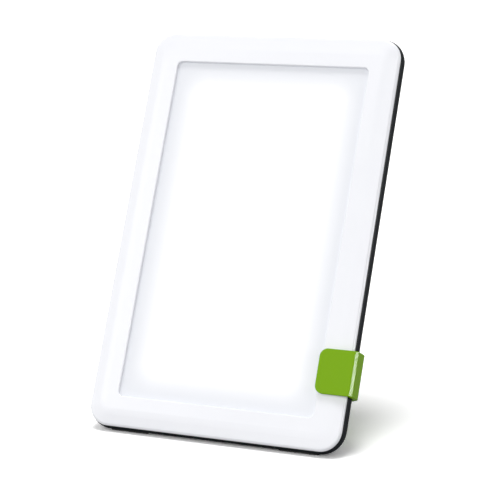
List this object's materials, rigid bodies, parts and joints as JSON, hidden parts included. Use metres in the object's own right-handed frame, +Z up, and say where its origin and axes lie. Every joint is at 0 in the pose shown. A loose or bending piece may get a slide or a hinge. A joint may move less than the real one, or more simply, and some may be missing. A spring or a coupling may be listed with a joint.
{
  "type": "light therapy lamp",
  "caption": "Slim light therapy lamp: a white-framed opal light panel in a dished black back, leaning on a clip-on green stand with a fold-out foot.",
  "frame": {"origin": "middle of the box round the standing lamp, on the floor", "axes": "+Z up, front face towards -Y and leaning back 25 degrees, +X to the right as seen from the front"},
  "size_m": [0.159, 0.1134, 0.2166],
  "materials": {
    "white_shell": "gloss white",
    "black_shell": "fine satin black",
    "green_clip": "satin green",
    "opal_panel": "opal, satin",
    "foam": "closed-cell foam",
    "reflector_white": "high-reflectance white",
    "board_white": "white solder mask on aluminium",
    "led_body": "phosphor",
    "screw_steel": "zinc plated",
    "board_green": "solder mask on glass epoxy",
    "component_black": "moulded",
    "capacitor_can": "drawn can",
    "jack_black": "moulded",
    "button_black": "satin black",
    "pin_steel": "ground",
    "foot_rubber": "moulded"
  },
  "bodies": {
    "casing": {"front_bezel": "white_shell", "diffuser_panel": "opal_panel", "diffuser_gasket": "foam", "reflector_tray": "reflector_white", "led_board": "board_white", "led_packages": "led_body", "board_screws": "screw_steel", "pin_header": "component_black", "driver_board": "board_green", "driver_screws": "screw_steel", "driver_inductor": "component_black", "driver_capacitors": "capacitor_can", "driver_chip": "component_black", "dc_jack": "jack_black", "tact_switch": "component_black", "rear_shell": "black_shell", "shell_screws": "screw_steel", "bottom_feet": "foot_rubber"},
    "button": {"power_button": "button_black", "switch_plunger": "component_black"},
    "stand": {"stand_hook": "green_clip", "hinge_pin": "pin_steel", "hinge_washers": "pin_steel"},
    "foot": {"stand_foot": "green_clip", "foot_pad": "foot_rubber"}
  },
  "joints": [
    {"name": "button_press", "type": "slide", "parent": "casing", "child": "button", "axis": [0, -0.9063, 0.4226], "range_m": [0, 0.0008], "stiffness_N_per_m": 400, "springref_m": -0.002},
    {"name": "stand_pull", "type": "slide", "parent": "casing", "child": "stand", "axis": [1, 0, 0], "range_m": [0, 0.14]},
    {"name": "foot_swing", "type": "hinge", "parent": "stand", "child": "foot", "pos_m": [0.0085, -0.02652, 0.02407], "axis": [0, 0.4226, 0.9063], "range_deg": [0, 90]}
  ]
}
